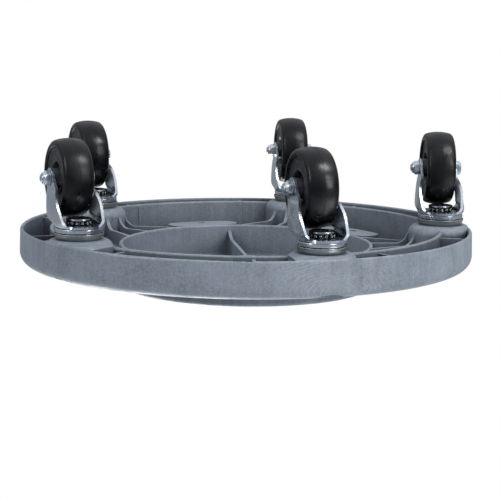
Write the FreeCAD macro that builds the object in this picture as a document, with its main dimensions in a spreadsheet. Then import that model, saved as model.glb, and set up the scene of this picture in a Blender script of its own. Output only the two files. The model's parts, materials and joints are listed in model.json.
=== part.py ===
"""Round drum dolly: a ribbed, moulded deck that carries a round container on five swivel casters.

Frame: millimetres, +Z up, the floor is Z = 0 and the deck's axis is X = Y = 0. The deck is mirror
symmetric about the YZ plane, and caster 3 stands on the -Y side. Azimuths are in degrees from +Y
towards +X. A caster is modelled about its own swivel axis, with the axle along X and the wheel
trailing towards -Y, then turned to its heading and moved under its boss.
"""
import FreeCAD, Part
import os
import re
import Sketcher
from FreeCAD import Placement, Rotation, Vector

# Driving dimensions: alias, value. Lengths in millimetres, angles in degrees.
DIMENSIONS = [
    # heights above the floor
    ("boss_face", 93.5),
    ("skirt_edge", 96.0),
    ("seat_height", 132.0),
    ("spigot_height", 157.0),
    ("rib_edge", 114.0),
    ("centre_rib_edge", 128.0),
    # deck radii and thicknesses
    ("deck_radius", 232.4),
    ("skirt_edge_radius", 231.8),
    ("skirt_wall", 3.8),
    ("floor_wall", 4.5),
    ("lip_round", 12.0),
    ("inner_round", 7.0),
    ("ring_wall", 4.0),
    ("middle_ring_radius", 202.0),
    ("spigot_radius", 131.5),
    ("spigot_round", 3.0),
    ("web_wall", 3.5),
    ("seam_wall", 3.0),
    # caster bosses
    ("caster_circle", 202.0),
    ("boss_radius", 33.0),
    ("boss_round", 9.5),
    ("boss_web_edge", 103.0),
    ("fill_face", 95.1),
    ("fill_round", 3.0),
    ("stem_bore", 6.1),
    ("nut_well_radius", 14.0),
    ("nut_well_floor", 118.0),
    # kidney-shaped lock pockets in the seat
    ("pocket_circle", 145.5),
    ("pocket_outside", 14.5),
    ("pocket_inside", 11.0),
    ("pocket_half_angle", 10.0),
    ("pocket_floor", 117.5),
    ("drain_length", 10.0),
    ("drain_width", 6.0),
    # rim details
    ("flute_radius", 19.0),
    ("flute_depth", 2.3),
    ("notch_radius", 36.0),
    ("notch_depth", 3.6),
    ("notch_foot", 221.5),
    # swivel bearing
    ("kingpin_radius", 8.0),
    ("running_gap", 0.06),
    ("top_race_foot", 90.05),
    ("top_race_radius", 21.2),
    ("top_race_lip_radius", 23.8),
    ("top_race_lip_foot", 88.6),
    ("ball_radius", 2.0),
    ("ball_circle", 20.2),
    ("ball_height", 88.2),
    ("inner_ball_circle", 10.6),
    ("inner_ball_height", 77.75),
    ("race_radius", 22.9),
    ("race_top", 86.8),
    ("race_round", 1.0),
    ("crown_top", 82.3),
    ("sheet_steel", 2.5),
    ("crown_radius", 24.0),
    ("rivet_radius", 12.6),
    ("rivet_top", 75.7),
    ("rivet_foot", 73.4),
    # wheel and axle
    ("wheel_radius", 38.1),
    ("wheel_width", 30.0),
    ("trail", 31.0),
    ("tyre_seat", 29.4),
    ("tyre_round", 5.0),
    ("tread_radius", 45.0),
    ("web_half_width", 12.6),
    ("recess_half_width", 6.0),
    ("recess_radius", 14.0),
    ("recess_rim_radius", 16.0),
    ("hub_half_width", 16.3),
    ("hub_radius", 9.6),
    ("bush_radius", 7.5),
    ("sleeve_radius", 5.9),
    ("axle_radius", 4.0),
    ("fork_inside", 16.7),
    ("lug_radius", 10.0),
    ("axle_hex", 12.7),
    ("axle_head", 5.3),
    ("axle_nut_height", 5.6),
    ("axle_collar_radius", 5.7),
    ("axle_collar_height", 2.0),
    ("axle_end", 28.4),
    # threaded stem and its nut
    ("stem_radius", 6.0),
    ("stem_top", 131.0),
    ("washer_radius", 12.0),
    ("washer_thick", 2.0),
    ("stem_hex", 18.0),
    ("stem_nut_height", 9.5),
    ("edge_break", 0.8),
]
ALIASES = {alias for alias, value in DIMENSIONS}

CASTER_COUNT = 5
CASTER_STEP = 360.0 / CASTER_COUNT
FIRST_CASTER_AZIMUTH = 36.0
PATTERN_AZIMUTH = 180.0  # the boss that the polar patterns repeat
# Heading of each caster, as a turn about its swivel axis: the wheels stand as they last rolled.
HEADINGS = [-33.6, -17.2, -24.2, -38.0, -40.3]

# Stations down a fork leg: height above the axle, near and far edge along Y, outer face at the
# near edge, at the middle and at the far edge. The last one is flat, as the plate below it is.
LEG_STATIONS = [
    (43.0, 15.5, -17.0, 18.3, 24.0, 17.0),
    (39.5, 14.2, -26.0, 21.0, 25.2, 21.6),
    (35.0, 11.0, -31.0, 21.6, 24.9, 22.4),
    (22.0, 0.8, -34.5, 22.7, 23.4, 21.8),
    (13.0, -7.0, -38.0, 21.0, 21.2, 20.3),
    (9.0, -12.0, -39.7, 19.2, 19.2, 19.2),
]

OUTER_BALLS = 24
INNER_BALLS = 13
CENTRE_RIB_AZIMUTH = 204.4
CENTRE_RIBS = 3
SEAM_RIBS = 10
SEAM_RIB_AZIMUTH = 18.0
# A diagonal web leaves the inner ring beside the boss: foot along X and Y, turn, length.
DIAGONAL_FOOT = (38.6, -126.1)
DIAGONAL_TURN = 26.8
DIAGONAL_LENGTH = 65.6
POCKET_AZIMUTHS = [0.0, 144.0, 216.0]
FLUTE_AZIMUTHS = [41.0, -41.0]
NOTCH_AZIMUTHS = [35.75, -35.75]
# Solid stretches between two bosses and the skirt: first and last azimuth.
FILL_SPANS = [(27.0, 40.0), (-40.0, -21.5)]

doc = FreeCAD.newDocument("drum_dolly")
sheet = doc.addObject("Spreadsheet::Sheet", "Sizes")
for row, (alias, value) in enumerate(DIMENSIONS, start=1):
    sheet.set(f"A{row}", alias)
    sheet.set(f"B{row}", str(value))
    sheet.setAlias(f"B{row}", alias)
doc.recompute()
nodes = []


def bound(text):
    """The same expression with every alias read from the sheet."""
    return re.sub(r"[a-z]\w+", lambda m: "Sizes." + m[0] if m[0] in ALIASES else m[0], str(text))


def value_of(text):
    """An expression's value as a plain number."""
    found = sheet.evalExpression(bound(text))
    return float(found.Value if hasattr(found, "Value") else found)


def plane(body, role):
    return next(o for o in body.Origin.OriginFeatures if o.Role == role)


def new_body(label):
    """A body for one node; groups of identical loose pieces are allowed in it."""
    body = doc.addObject("PartDesign::Body", label)
    body.Label = label
    body.AllowCompound = True
    nodes.append(body)
    return body


def flat_sketch(body, name, height, azimuth=0.0):
    """A horizontal sketch at a height, turned so that its +Y points along the azimuth."""
    made = body.newObject("Sketcher::SketchObject", name)
    made.AttachmentSupport = [(plane(body, "XY_Plane"), "")]
    made.MapMode = "FlatFace"
    made.AttachmentOffset = Placement(Vector(), Rotation(Vector(0, 0, 1), -azimuth))
    made.setExpression("AttachmentOffset.Base.z", bound(height))
    return made


def upright_sketch(body, name, azimuth, x="0", y="0"):
    """A vertical sketch whose +X points along the azimuth and whose +Y is +Z. Its vertical axis
    stands at x, y."""
    made = body.newObject("Sketcher::SketchObject", name)
    made.AttachmentSupport = [(plane(body, "YZ_Plane"), "")]
    made.MapMode = "FlatFace"
    made.AttachmentOffset = Placement(Vector(), Rotation(Vector(0, 1, 0), -azimuth))
    made.setExpression("AttachmentOffset.Base.x", bound(y))
    made.setExpression("AttachmentOffset.Base.z", bound(x))
    return made


def cross_sketch(body, name, place):
    """A sketch square to the axle, at a place along it; its +X is +Y and its +Y is +Z."""
    made = body.newObject("Sketcher::SketchObject", name)
    made.AttachmentSupport = [(plane(body, "YZ_Plane"), "")]
    made.MapMode = "FlatFace"
    made.setExpression("AttachmentOffset.Base.z", bound(place))
    return made


def pin_point(made, index, which, x, y):
    """Holds one point of a sketch edge at expressions x, y."""
    for kind, text in (("DistanceX", x), ("DistanceY", y)):
        held = Sketcher.Constraint(kind, -1, 1, index, which, value_of(text))
        number = made.addConstraint(held)
        made.setExpression(f"Constraints[{number}]", bound(text))


def arc_middle(start, end, radius, turn):
    """The middle point of the shorter arc from start to end: turn is +1 for counter-clockwise."""
    chord = end - start
    right = Vector(chord.y, -chord.x, 0).normalize()
    rise = max(radius**2 - (chord.Length / 2) ** 2, 0.0) ** 0.5
    return (start + end) / 2 + right * (turn * (radius - rise))


def outline(made, points, arcs=None):
    """A closed outline through points, each a pair of expressions. arcs maps the number of an
    edge to its radius, an expression, and its turn, +1 for counter-clockwise."""
    arcs = arcs or {}
    at = [Vector(value_of(x), value_of(y), 0) for x, y in points]
    count = len(at)
    ends = []
    for i in range(count):
        start, end = at[i], at[(i + 1) % count]
        if i in arcs:
            radius, turn = arcs[i]
            made.addGeometry(Part.Arc(start, arc_middle(start, end, value_of(radius), turn), end))
            ends.append((1, 2) if turn > 0 else (2, 1))
        else:
            made.addGeometry(Part.LineSegment(start, end))
            ends.append((1, 2))
    for i in range(count):
        j = (i + 1) % count
        made.addConstraint(Sketcher.Constraint("Coincident", i, ends[i][1], j, ends[j][0]))
    for i, (x, y) in enumerate(points):
        pin_point(made, i, ends[i][0], x, y)
    for i, (radius, turn) in arcs.items():
        half_circle = abs((at[(i + 1) % count] - at[i]).Length / 2 - value_of(radius)) < 1e-6
        if not half_circle:
            number = made.addConstraint(Sketcher.Constraint("Radius", i, value_of(radius)))
            made.setExpression(f"Constraints[{number}]", bound(radius))
    return made


def ring(made, x, y, radius):
    """A full circle at x, y."""
    centre = Vector(value_of(x), value_of(y), 0)
    index = made.addGeometry(Part.Circle(centre, Vector(0, 0, 1), value_of(radius)))
    pin_point(made, index, 3, x, y)
    number = made.addConstraint(Sketcher.Constraint("Radius", index, value_of(radius)))
    made.setExpression(f"Constraints[{number}]", bound(radius))
    return made


def hexagon(made, across):
    """A hexagon about the sketch's origin, with two flats square to its Y."""
    corner = f"{across} / 2 / cos(30)"
    outline(made, [(f"{corner} * cos({60 * k})", f"{corner} * sin({60 * k})") for k in range(6)])
    return made


def volume(body):
    return 0.0 if body.Shape.isNull() else body.Shape.Volume


def finished(body, feature, before, cut):
    """Computes a feature and stops the build if it left the solid's volume as it was, or
    changed it the wrong way."""
    body.Tip = feature
    doc.recompute()
    gain = volume(body) - before
    if not feature.isValid() or (gain >= 0 if cut else gain <= 0):
        raise RuntimeError(f"{feature.Name} of {body.Label} changed the volume by {gain:.3f}")
    return feature


def turned(body, name, made, axis="V_Axis", cut=False, angle=360.0):
    """A revolution, or a groove, of a sketch about one of its own axes."""
    before = volume(body)
    feature = body.newObject("PartDesign::Groove" if cut else "PartDesign::Revolution", name)
    feature.Profile = made
    feature.ReferenceAxis = (made, [axis])
    feature.Angle = angle
    feature.Midplane = angle < 360.0
    return finished(body, feature, before, cut)


def extruded(body, name, made, length, centred=False, cut=False, reverse=False):
    """A pad along the sketch's normal, or a pocket against it."""
    before = volume(body)
    feature = body.newObject("PartDesign::Pocket" if cut else "PartDesign::Pad", name)
    feature.Profile = made
    feature.setExpression("Length", bound(length))
    feature.Midplane = centred
    feature.Reversed = reverse
    return finished(body, feature, before, cut)


def around(body, name, features, count, cut=False):
    """Repeats features evenly round the body's Z axis."""
    before = volume(body)
    feature = body.newObject("PartDesign::PolarPattern", name)
    feature.Originals = features
    feature.Axis = (plane(body, "Z_Axis"), [""])
    feature.Angle = 360
    feature.Occurrences = count
    return finished(body, feature, before, cut)


def mirrored(body, name, features):
    """Repeats features on the other side of the YZ plane."""
    before = volume(body)
    feature = body.newObject("PartDesign::Mirrored", name)
    feature.Originals = features
    feature.MirrorPlane = (plane(body, "YZ_Plane"), [""])
    return finished(body, feature, before, False)


# ---------------------------------------------------------------- deck

FLOOR = "seat_height - floor_wall"
INSIDE_FLOOR = "seat_height - floor_wall / 2"


def deck_shell(body):
    """Spigot, seat, rounded lip and skirt, with the middle and the inner ring below."""
    skirt_inside = "skirt_edge_radius - skirt_wall"
    skirt_foot = "skirt_edge + skirt_wall / 2"
    middle_foot = "skirt_edge + ring_wall / 2"
    inner_foot = "rib_edge + ring_wall / 2"
    spigot_inside = "spigot_radius - ring_wall"
    spigot_ceiling = "spigot_height - floor_wall"
    points = [
        ("0", "spigot_height"),
        ("spigot_radius - spigot_round", "spigot_height"),
        ("spigot_radius", "spigot_height - spigot_round"),
        ("spigot_radius", "seat_height"),
        ("deck_radius - lip_round", "seat_height"),
        ("deck_radius", "seat_height - lip_round"),
        ("skirt_edge_radius", skirt_foot),
        (skirt_inside, skirt_foot),
        (skirt_inside, f"{FLOOR} - inner_round"),
        (f"{skirt_inside} - inner_round", FLOOR),
        ("middle_ring_radius", FLOOR),
        ("middle_ring_radius", middle_foot),
        ("middle_ring_radius - ring_wall", middle_foot),
        ("middle_ring_radius - ring_wall", FLOOR),
        ("spigot_radius", FLOOR),
        ("spigot_radius", inner_foot),
        (spigot_inside, inner_foot),
        (spigot_inside, f"{spigot_ceiling} - inner_round"),
        (f"{spigot_inside} - inner_round", spigot_ceiling),
        ("0", spigot_ceiling),
    ]
    arcs = {
        1: ("spigot_round", -1),
        4: ("lip_round", -1),
        6: ("skirt_wall / 2", -1),
        8: ("inner_round", 1),
        11: ("ring_wall / 2", -1),
        15: ("ring_wall / 2", -1),
        17: ("inner_round", 1),
    }
    turned(body, "Shell", outline(upright_sketch(body, "ShellOutline", 0.0), points, arcs))


def boss(body):
    """A solid post with a rounded shoulder, under the seat."""
    points = [
        ("0", "boss_face"),
        ("boss_radius - boss_round", "boss_face"),
        ("boss_radius", "boss_face + boss_round"),
        ("boss_radius", INSIDE_FLOOR),
        ("0", INSIDE_FLOOR),
    ]
    made = upright_sketch(body, "BossOutline", PATTERN_AZIMUTH, y="-caster_circle")
    return turned(body, "Boss", outline(made, points, {1: ("boss_round", 1)}))


def boss_trim(body):
    """Cuts the bosses back to the middle of the skirt's wall, which is added round them."""
    inside = "(skirt_edge_radius - skirt_wall / 2)"
    outside = "caster_circle + boss_radius + 1"
    points = [
        (inside, "boss_face - 1"),
        (outside, "boss_face - 1"),
        (outside, "seat_height"),
        (f"{inside} - lip_round * 0.8", "seat_height"),
        (inside, "seat_height - lip_round"),
    ]
    made = outline(upright_sketch(body, "BossTrimOutline", 0.0), points)
    return turned(body, "BossTrim", made, cut=True)


def web(body, name, made, ring_end, curve_start, boss_end):
    """A web from the inner ring to a boss: level at first, then curving down the boss."""
    drop = "(rib_edge - boss_web_edge)"
    points = [
        (ring_end, INSIDE_FLOOR),
        (ring_end, "rib_edge"),
        (curve_start, "rib_edge"),
        (f"{curve_start} + {drop}", "boss_web_edge"),
        (boss_end, "boss_web_edge"),
        (boss_end, INSIDE_FLOOR),
    ]
    outline(made, points, {2: (f"{drop} * 1.2", -1)})
    return extruded(body, name, made, "web_wall", centred=True)


def radial_web(body):
    made = upright_sketch(body, "RadialWebOutline", PATTERN_AZIMUTH)
    ring_end = "spigot_radius - ring_wall / 2"
    return web(body, "RadialWeb", made, ring_end, "157", "caster_circle - boss_radius * 0.8")


def diagonal_web(body, side):
    """A web that leaves the inner ring beside the boss; side is +1 or -1 along X."""
    name = "DiagonalWebRight" if side > 0 else "DiagonalWebLeft"
    foot_x, foot_y = DIAGONAL_FOOT
    azimuth = PATTERN_AZIMUTH + side * DIAGONAL_TURN
    made = upright_sketch(body, name + "Outline", azimuth, x=side * foot_x, y=foot_y)
    return web(body, name, made, "-ring_wall / 2", "41", DIAGONAL_LENGTH)


def seam_rib(body):
    """A thin rib across the channel between the middle ring and the skirt. Its inner end stands
    proud of the ring as a seam."""
    made = upright_sketch(body, "SeamRibOutline", SEAM_RIB_AZIMUTH)
    inner_end = "middle_ring_radius - ring_wall - 0.6"
    outer_end = "skirt_edge_radius - skirt_wall / 2"
    foot = "skirt_edge + seam_wall"
    points = [
        (inner_end, INSIDE_FLOOR),
        (inner_end, foot),
        (outer_end, foot),
        (outer_end, "seat_height - lip_round + 2"),
        (f"{outer_end} - 6", "seat_height - 3"),
    ]
    return extruded(body, "SeamRib", outline(made, points), "seam_wall", centred=True)


def centre_rib(body):
    """A rib from the axis to the inner ring, whose edge drops in a curve to meet the ring."""
    made = upright_sketch(body, "CentreRibOutline", CENTRE_RIB_AZIMUTH)
    top = "spigot_height - floor_wall / 2"
    ring_end = "spigot_radius - ring_wall / 2"
    points = [
        ("0", top),
        ("0", "centre_rib_edge"),
        (f"{ring_end} - 26", "centre_rib_edge"),
        (ring_end, "centre_rib_edge - 9"),
        (ring_end, top),
    ]
    made = outline(made, points, {2: ("46", -1)})
    return extruded(body, "CentreRib", made, "web_wall", centred=True)


def fill(body, number, first, last):
    """A solid stretch between the middle ring and the skirt, beside a boss."""
    made = upright_sketch(body, f"FillOutline{number}", (first + last) / 2)
    points = [
        ("middle_ring_radius", INSIDE_FLOOR),
        ("middle_ring_radius", "fill_face"),
        ("skirt_edge_radius - fill_round", "fill_face"),
        ("skirt_edge_radius", "fill_face + fill_round"),
        ("skirt_edge_radius", "seat_height - lip_round"),
        ("skirt_edge_radius - lip_round / 2", "seat_height - floor_wall"),
    ]
    made = outline(made, points, {2: ("fill_round", 1)})
    turned(body, f"Fill{number}", made, angle=last - first)


def kidney(made, half_width):
    """A curved slot on the pocket circle, about the sketch's +Y."""
    inner = f"(pocket_circle - {half_width})"
    outer = f"(pocket_circle + {half_width})"
    sine = "sin(pocket_half_angle)"
    cosine = "cos(pocket_half_angle)"
    points = [
        (f"-{inner} * {sine}", f"{inner} * {cosine}"),
        (f"{inner} * {sine}", f"{inner} * {cosine}"),
        (f"{outer} * {sine}", f"{outer} * {cosine}"),
        (f"-{outer} * {sine}", f"{outer} * {cosine}"),
    ]
    return outline(made, points, {0: (inner, -1), 1: (half_width, 1), 2: (outer, 1), 3: (half_width, 1)})


def pocket_block(body, number, azimuth):
    """The thick underside that a lock pocket sinks into."""
    made = flat_sketch(body, f"PocketBlockOutline{number}", "rib_edge", azimuth)
    kidney(made, "pocket_outside")
    extruded(body, f"PocketBlock{number}", made, f"{FLOOR} - rib_edge + 1")


def pocket_recess(body, number, azimuth):
    """A lock pocket, open to the seat, with a drain slot in its floor."""
    made = flat_sketch(body, f"PocketOutline{number}", "seat_height", azimuth)
    kidney(made, "pocket_inside")
    extruded(body, f"Pocket{number}", made, "seat_height - pocket_floor", cut=True)
    made = flat_sketch(body, f"DrainOutline{number}", "pocket_floor", azimuth)
    straight = "(drain_length - drain_width) / 2"
    points = [
        (f"-{straight}", "pocket_circle + 1"),
        (straight, "pocket_circle + 1"),
        (straight, "pocket_circle + 1 + drain_width"),
        (f"-{straight}", "pocket_circle + 1 + drain_width"),
    ]
    outline(made, points, {1: ("drain_width / 2", 1), 3: ("drain_width / 2", 1)})
    extruded(body, f"Drain{number}", made, "pocket_floor - rib_edge + 1", cut=True)


def stem_wells(body):
    """The stem's bore and the nut's well, through every boss."""
    top = "seat_height + 1"
    points = [
        ("0", "boss_face - 1"),
        ("stem_bore", "boss_face - 1"),
        ("stem_bore", "nut_well_floor"),
        ("nut_well_radius", "nut_well_floor"),
        ("nut_well_radius", top),
        ("0", top),
    ]
    made = upright_sketch(body, "StemWellOutline", PATTERN_AZIMUTH, y="-caster_circle")
    well = turned(body, "StemWell", outline(made, points), cut=True)
    around(body, "StemWells", [well], CASTER_COUNT, cut=True)


def flute(body, number, azimuth):
    """A shallow upright hollow down the outside of the skirt."""
    made = flat_sketch(body, f"FluteOutline{number}", "seat_height + 1", azimuth)
    ring(made, "0", "deck_radius + flute_radius - flute_depth", "flute_radius")
    extruded(body, f"Flute{number}", made, "seat_height - boss_face + 2", cut=True)


def notch(body, number, azimuth):
    """A shallow arch in the lip's outer top edge."""
    place_x = f"notch_foot * sin({azimuth})"
    place_y = f"notch_foot * cos({azimuth})"
    made = upright_sketch(body, f"NotchOutline{number}", azimuth - 90, x=place_x, y=place_y)
    ring(made, "0", "seat_height + notch_radius - notch_depth", "notch_radius")
    length = "deck_radius - notch_foot + 2"
    extruded(body, f"Notch{number}", made, length, cut=True, reverse=True)


def make_deck():
    body = new_body("deck")
    under_boss = [boss(body), radial_web(body), diagonal_web(body, 1), diagonal_web(body, -1)]
    around(body, "Bosses", under_boss, CASTER_COUNT)
    boss_trim(body)
    deck_shell(body)
    around(body, "SeamRibs", [seam_rib(body)], SEAM_RIBS)
    around(body, "CentreRibs", [centre_rib(body)], CENTRE_RIBS)
    for number, (first, last) in enumerate(FILL_SPANS, start=1):
        fill(body, number, first, last)
    for number, azimuth in enumerate(POCKET_AZIMUTHS, start=1):
        pocket_block(body, number, azimuth)
    for number, azimuth in enumerate(POCKET_AZIMUTHS, start=1):
        pocket_recess(body, number, azimuth)
    stem_wells(body)
    for number, azimuth in enumerate(FLUTE_AZIMUTHS, start=1):
        flute(body, number, azimuth)
    for number, azimuth in enumerate(NOTCH_AZIMUTHS, start=1):
        notch(body, number, azimuth)


# ---------------------------------------------------------------- fasteners in the deck


def make_stem_washers():
    body = new_body("stem_washers")
    top = "nut_well_floor + washer_thick"
    points = [
        ("stem_bore", "nut_well_floor"),
        ("washer_radius", "nut_well_floor"),
        ("washer_radius", top),
        ("stem_bore", top),
    ]
    made = upright_sketch(body, "WasherOutline", PATTERN_AZIMUTH, y="-caster_circle")
    washer = turned(body, "Washer", outline(made, points))
    around(body, "Washers", [washer], CASTER_COUNT)


def make_stem_nuts():
    """Hexagon nuts with turned-off corners, in the wells."""
    body = new_body("stem_nuts")
    foot = "nut_well_floor + washer_thick"
    made = flat_sketch(body, "NutOutline", foot, PATTERN_AZIMUTH)
    corner = "stem_hex / 2 / cos(30)"
    points = [
        (f"{corner} * sin({60 * k})", f"caster_circle + {corner} * cos({60 * k})")
        for k in range(6)
    ]
    blank = extruded(body, "NutBlank", outline(made, points), "stem_nut_height")
    made = upright_sketch(body, "NutBoreOutline", PATTERN_AZIMUTH, y="-caster_circle")
    top = f"{foot} + stem_nut_height"
    points = [("0", foot), ("stem_radius", foot), ("stem_radius", top), ("0", top)]
    bore = turned(body, "NutBore", outline(made, points), cut=True)
    made = upright_sketch(body, "NutChamferOutline", PATTERN_AZIMUTH, y="-caster_circle")
    points = [
        ("stem_hex / 2", top),
        (f"{corner} + 1", f"{top} - 1.6"),
        (f"{corner} + 1", top),
    ]
    chamfer = turned(body, "NutChamfer", outline(made, points), cut=True)
    around(body, "Nuts", [blank, bore, chamfer], CASTER_COUNT)


# ---------------------------------------------------------------- placing a caster's pieces


def caster_placement(number):
    """Caster 1 stands at the first azimuth, and the others follow round the deck."""
    azimuth = FIRST_CASTER_AZIMUTH + CASTER_STEP * (number - 1)
    radius = value_of("caster_circle")
    place = Vector(
        radius * value_of(f"sin({azimuth})"),
        radius * value_of(f"cos({azimuth})"),
        0,
    )
    return Placement(place, Rotation(Vector(0, 0, 1), HEADINGS[number - 1]))


def wheel_placement(number):
    """The wheel's centre, with the axle along its own X."""
    centre = Vector(0, -value_of("trail"), value_of("wheel_radius"))
    return caster_placement(number).multiply(Placement(centre, Rotation()))


# ---------------------------------------------------------------- swivel bearing


def make_stem(number):
    """Threaded stem, kingpin and riveted head, turned in one piece."""
    body = new_body(f"stem_{number}")
    points = [
        ("0", "stem_top"),
        ("stem_radius - edge_break", "stem_top"),
        ("stem_radius", "stem_top - edge_break"),
        ("stem_radius", "boss_face"),
        ("kingpin_radius", "boss_face"),
        ("kingpin_radius", "rivet_top"),
        ("rivet_radius", "rivet_top"),
        ("rivet_radius", "rivet_top - edge_break"),
        ("rivet_radius - 1.5", "rivet_foot"),
        ("kingpin_radius - 2", "rivet_foot"),
        ("kingpin_radius - 4", "rivet_foot + 1"),
        ("0", "rivet_foot + 1"),
    ]
    made = outline(upright_sketch(body, "StemOutline", 0.0), points, {7: ("1.7", -1)})
    turned(body, "Stem", made)
    body.Placement = caster_placement(number)


def make_top_race(number):
    """The fixed cup of the bearing, with a flared lip over the balls."""
    body = new_body(f"top_race_{number}")
    groove = "ball_radius + running_gap"
    reach = f"sqrt(pow({groove}; 2) - pow(top_race_foot - ball_height; 2))"
    lip_top = "top_race_lip_foot + 1"
    points = [
        ("kingpin_radius", "boss_face"),
        ("top_race_radius", "boss_face"),
        ("top_race_lip_radius - 0.5", lip_top),
        ("top_race_lip_radius - 0.5", "top_race_lip_foot"),
        ("ball_circle + 2.4", "top_race_lip_foot"),
        ("ball_circle + 2.4", "top_race_foot"),
        (f"ball_circle + {reach}", "top_race_foot"),
        (f"ball_circle - {reach}", "top_race_foot"),
        ("kingpin_radius", "top_race_foot"),
    ]
    arcs = {1: ("5", -1), 2: ("0.5", -1), 6: (groove, 1)}
    made = outline(upright_sketch(body, "TopRaceOutline", 0.0), points, arcs)
    turned(body, "TopRace", made)
    body.Placement = caster_placement(number)


def ball_ring(body, name, circle, height, count):
    """Loose balls, evenly round the swivel axis."""
    made = upright_sketch(body, name + "Outline", 0.0, y=circle)
    points = [("0", f"{height} - ball_radius"), ("0", f"{height} + ball_radius")]
    outline(made, points, {0: ("ball_radius", 1)})
    around(body, name, [turned(body, name + "First", made)], count)


def make_race_balls(number):
    body = new_body(f"race_balls_{number}")
    ball_ring(body, "OuterBalls", "ball_circle", "ball_height", OUTER_BALLS)
    ball_ring(body, "InnerBalls", "inner_ball_circle", "inner_ball_height", INNER_BALLS)
    body.Placement = caster_placement(number)


def make_bottom_race(number):
    """The turning race on the fork's crown."""
    body = new_body(f"bottom_race_{number}")
    bore = "kingpin_radius + running_gap"
    groove = "ball_radius + running_gap"
    reach = f"sqrt(pow({groove}; 2) - pow(ball_height - race_top; 2))"
    points = [
        (bore, "crown_top"),
        ("race_radius - 1", "crown_top"),
        ("race_radius", "crown_top + 1"),
        ("race_radius", "race_top - race_round"),
        ("race_radius - race_round", "race_top"),
        (f"ball_circle + {reach}", "race_top"),
        (f"ball_circle - {reach}", "race_top"),
        (bore, "race_top"),
    ]
    arcs = {1: ("1", 1), 3: ("race_round", 1), 5: (groove, -1)}
    made = outline(upright_sketch(body, "BottomRaceOutline", 0.0), points, arcs)
    turned(body, "BottomRace", made)
    body.Placement = caster_placement(number)


# ---------------------------------------------------------------- fork and axle


def leg_section(body, index, station):
    """One level section of the leg on the +X side: a strip of sheet, bowed or flat."""
    height, near, far, outer_near, outer_middle, outer_far = station
    bow = outer_middle - (outer_near + outer_far) / 2
    chord = ((near - far) ** 2 + (outer_near - outer_far) ** 2) ** 0.5
    arcs = {}
    if bow > 0:
        radius = (chord**2 / 4 + bow**2) / (2 * bow)
        arcs = {0: (radius, 1), 2: (radius, -1)}
    made = flat_sketch(body, f"LegSection{index}", f"wheel_radius + {height}")
    points = [
        (outer_far, far),
        (outer_near, near),
        (f"{outer_near} - sheet_steel", near),
        (f"{outer_far} - sheet_steel", far),
    ]
    return outline(made, points, arcs)


def make_fork(number):
    """Crown plate and two legs of pressed sheet, with round lugs for the axle."""
    body = new_body(f"fork_{number}")
    made = flat_sketch(body, "CrownOutline", "crown_top - sheet_steel")
    ring(made, "0", "0", "crown_radius")
    extruded(body, "Crown", made, "sheet_steel")
    sections = [leg_section(body, index, station) for index, station in enumerate(LEG_STATIONS)]
    before = volume(body)
    leg = body.newObject("PartDesign::AdditiveLoft", "Leg")
    leg.Profile = sections[0]
    leg.Sections = sections[1:]
    finished(body, leg, before, False)
    height, near, far = LEG_STATIONS[-1][:3]
    points = [
        (near, f"wheel_radius + {height}"),
        (far, f"wheel_radius + {height}"),
        ("-trail - lug_radius", "wheel_radius"),
        ("lug_radius - trail", "wheel_radius"),
    ]
    made = outline(cross_sketch(body, "PlateOutline", "fork_inside"), points)
    plate = extruded(body, "Plate", made, "sheet_steel")
    made = cross_sketch(body, "LugOutline", "fork_inside")
    ring(made, "-trail", "wheel_radius", "lug_radius")
    lug = extruded(body, "Lug", made, "sheet_steel")
    mirrored(body, "OtherLeg", [leg, plate, lug])
    made = flat_sketch(body, "KingpinHoleOutline", "crown_top + 1")
    ring(made, "0", "0", "kingpin_radius + running_gap")
    extruded(body, "KingpinHole", made, "sheet_steel + 2", cut=True)
    made = cross_sketch(body, "AxleHoleOutline", "0")
    ring(made, "-trail", "wheel_radius", "axle_radius + running_gap")
    extruded(body, "AxleHole", made, "fork_inside * 2 + sheet_steel * 4", centred=True, cut=True)
    body.Placement = caster_placement(number)


def axle_sketch(body, name):
    """A sketch that holds the axle: its +X is the axle's line and its +Y a radius."""
    made = body.newObject("Sketcher::SketchObject", name)
    made.AttachmentSupport = [(plane(body, "XY_Plane"), "")]
    made.MapMode = "FlatFace"
    return made


def make_axle_bolt(number):
    """Shank and hexagon head; the head is on the +X side."""
    body = new_body(f"axle_bolt_{number}")
    bearing = "(fork_inside + sheet_steel)"
    points = [
        ("-axle_end", "0"),
        ("-axle_end", "axle_radius - edge_break"),
        ("edge_break - axle_end", "axle_radius"),
        (f"{bearing}", "axle_radius"),
        (f"{bearing}", "0"),
    ]
    turned(body, "Shank", outline(axle_sketch(body, "ShankOutline"), points), axis="H_Axis")
    made = hexagon(cross_sketch(body, "HeadOutline", bearing), "axle_hex")
    extruded(body, "Head", made, "axle_head")
    corner = "axle_hex / 2 / cos(30)"
    outside = f"{bearing} + axle_head"
    points = [
        (f"{outside} - 1.1", f"{corner} + 0.5"),
        (outside, "axle_hex / 2 - 0.4"),
        (outside, f"{corner} + 0.5"),
    ]
    made = outline(axle_sketch(body, "HeadChamferOutline"), points)
    turned(body, "HeadChamfer", made, axis="H_Axis", cut=True)
    body.Placement = wheel_placement(number)


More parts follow.
